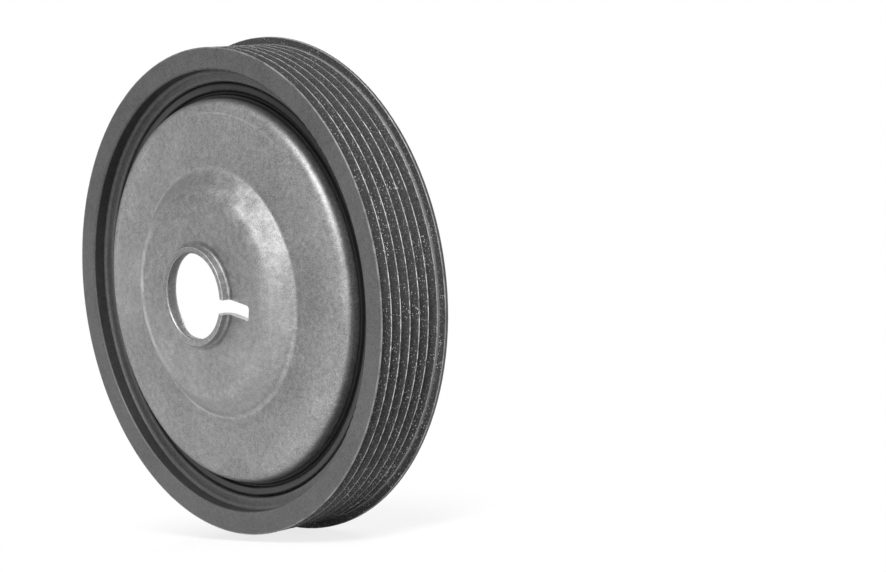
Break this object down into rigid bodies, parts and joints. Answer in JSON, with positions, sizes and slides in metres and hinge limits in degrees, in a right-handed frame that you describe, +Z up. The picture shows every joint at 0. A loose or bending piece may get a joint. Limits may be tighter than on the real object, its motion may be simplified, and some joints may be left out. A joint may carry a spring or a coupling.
{
  "type": "ribbed belt pulley",
  "caption": "Ribbed belt pulley with a torsional damper: grooved cast-iron ring, bonded rubber ring and deep-drawn steel hub with a slotted bore.",
  "frame": {"origin": "centre of the bore, in the plane of the hub's flat rear seat", "axes": "Y is the axis of rotation and points from the front of the pulley to the engine, so the front looks towards -Y; +Z is up as the pulley stands, and the hub's slot points 16.1 degrees below +X"},
  "size_m": [0.155, 0.0345, 0.155],
  "materials": {
    "phosphated_iron": "machined, dark matte phosphate coating, with one bare drilled spot",
    "rubber": "moulded, satin",
    "phosphated_sheet": "pressed sheet, fine-grained satin phosphate coating"
  },
  "bodies": {
    "root": {"pulley_ring": "phosphated_iron", "rubber_ring": "rubber", "hub": "phosphated_sheet"}
  },
  "joints": []
}
